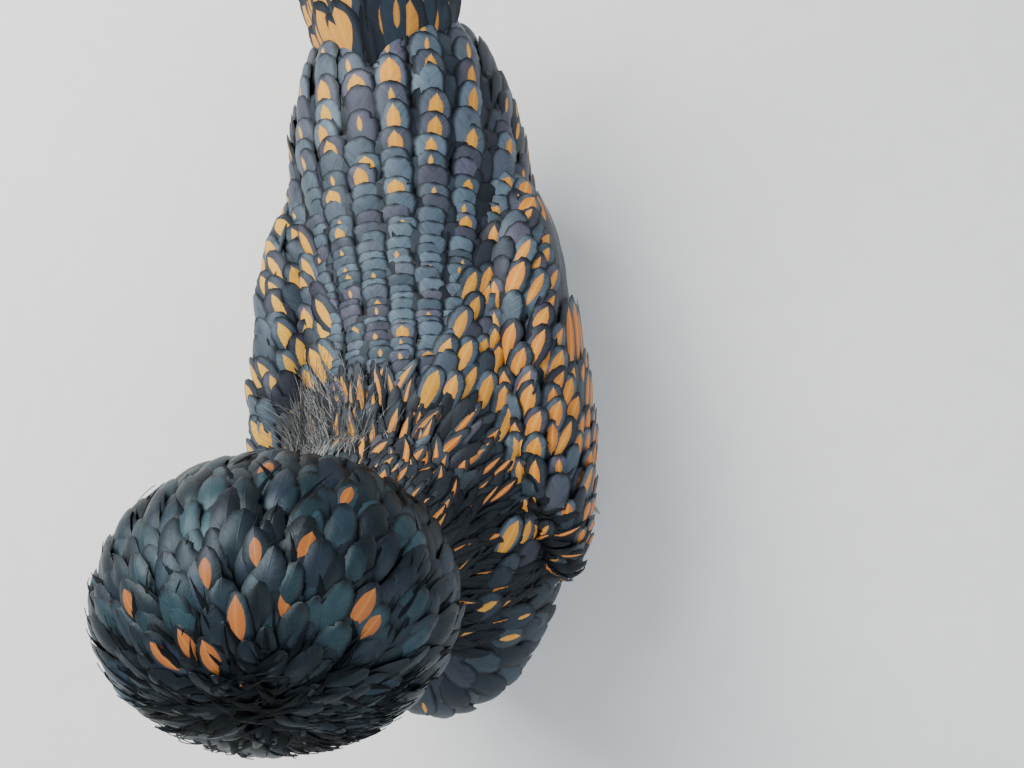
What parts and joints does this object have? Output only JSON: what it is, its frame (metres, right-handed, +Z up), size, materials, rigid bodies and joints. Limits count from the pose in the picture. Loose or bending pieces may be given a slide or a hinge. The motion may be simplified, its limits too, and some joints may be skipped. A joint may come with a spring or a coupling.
{
  "type": "polish crested chicken, still life-size model",
  "caption": "Life-size still model of a gold-laced crested hen sitting at rest, with a full globe crest, beard, folded wings and a raised tail.",
  "frame": {"origin": "on the floor, at the middle of the flat of the belly that the bird rests on", "axes": "-Y where the body points, bill end first; +X the bird's left; +Z up from the floor"},
  "size_m": [0.166, 0.3801, 0.2326],
  "materials": {
    "body_feathers": "slate black plumage with gold laced marks",
    "hackle_feathers": "narrow glossy grey-black feathers with gold centres",
    "crest_feathers": "glossy blue-black feathers with a few orange marks",
    "beard_feathers": "soft black feathers with gold flecks",
    "wing_feathers": "black plumage with dense orange spangles",
    "tail_feathers": "ochre webs with black stipple and black tips",
    "face_skin": "bare skin, matt",
    "bill": "horn, satin",
    "eye": "wet and clear, red-brown iris",
    "leg_scales": "slate-blue horny scales",
    "claw": "horn"
  },
  "bodies": {
    "root": {"torso": "body_feathers", "neck": "hackle_feathers", "head": "face_skin", "crest": "crest_feathers", "beard": "beard_feathers", "bill_upper": "bill", "bill_lower": "bill", "eye_left": "eye", "eye_right": "eye", "wing_left": "wing_feathers", "wing_right": "wing_feathers", "tail": "tail_feathers", "thigh_left": "body_feathers", "thigh_right": "body_feathers", "foot_left": "leg_scales", "foot_right": "leg_scales", "claw_middle_left": "claw", "claw_middle_right": "claw", "claw_inner_left": "claw", "claw_inner_right": "claw", "claw_outer_left": "claw", "claw_outer_right": "claw", "claw_back_left": "claw", "claw_back_right": "claw"}
  },
  "joints": []
}
